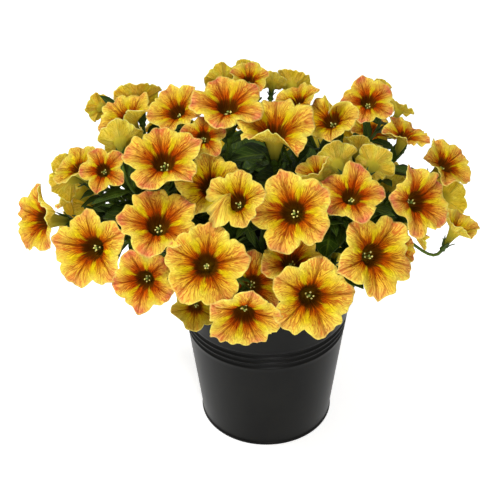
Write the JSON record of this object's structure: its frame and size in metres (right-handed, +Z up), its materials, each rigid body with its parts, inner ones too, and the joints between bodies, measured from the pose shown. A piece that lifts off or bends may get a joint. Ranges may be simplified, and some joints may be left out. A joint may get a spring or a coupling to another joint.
{
  "type": "potted petchoa",
  "caption": "Bushy flowering plant with yellow and coral trumpet blooms round dark throats, in a tapered dark metal pot with pressed grooves, for a sill or table.",
  "frame": {"origin": "centre of the flat underside of the pot, on the surface that it stands on", "axes": "+Z up along the pot's axis, +Y away from the viewer of the picture, +X to that viewer's right"},
  "size_m": [0.3259, 0.2724, 0.2994],
  "materials": {
    "pot_metal": "satin charcoal",
    "soil": "crumbly, matt",
    "leaf": "soft sheen, veined",
    "petal": "velvety, yellow with coral veins and a dark throat"
  },
  "bodies": {
    "root": {"pot": "pot_metal", "soil": "soil", "plant_1": "leaf", "plant_2": "leaf", "plant_3": "leaf", "bloom_01": "petal", "bloom_02": "petal", "bloom_03": "petal", "bloom_04": "petal", "bloom_05": "petal", "bloom_06": "petal", "bloom_07": "petal", "bloom_08": "petal", "bloom_09": "petal", "bloom_10": "petal", "bloom_11": "petal", "bloom_12": "petal", "bloom_13": "petal", "bloom_14": "petal", "bloom_15": "petal", "bloom_16": "petal", "bloom_17": "petal", "bloom_18": "petal", "bloom_19": "petal", "bloom_20": "petal", "bloom_21": "petal", "bloom_22": "petal", "bloom_23": "petal", "bloom_24": "petal", "bloom_25": "petal", "bloom_26": "petal", "bloom_27": "petal", "bloom_28": "petal", "bloom_29": "petal", "bloom_30": "petal", "bloom_31": "petal", "bloom_32": "petal", "bloom_33": "petal", "bloom_34": "petal", "bloom_35": "petal", "bloom_36": "petal", "bloom_37": "petal", "bloom_38": "petal", "bloom_39": "petal", "bloom_40": "petal", "bloom_41": "petal", "bloom_42": "petal", "bloom_43": "petal", "bloom_44": "petal", "bloom_45": "petal", "bloom_46": "petal", "bloom_47": "petal", "bloom_48": "petal", "bloom_49": "petal", "bloom_50": "petal", "far_blooms_1": "petal", "far_blooms_2": "petal", "far_blooms_3": "petal", "far_blooms_4": "petal", "far_blooms_5": "petal"}
  },
  "joints": []
}
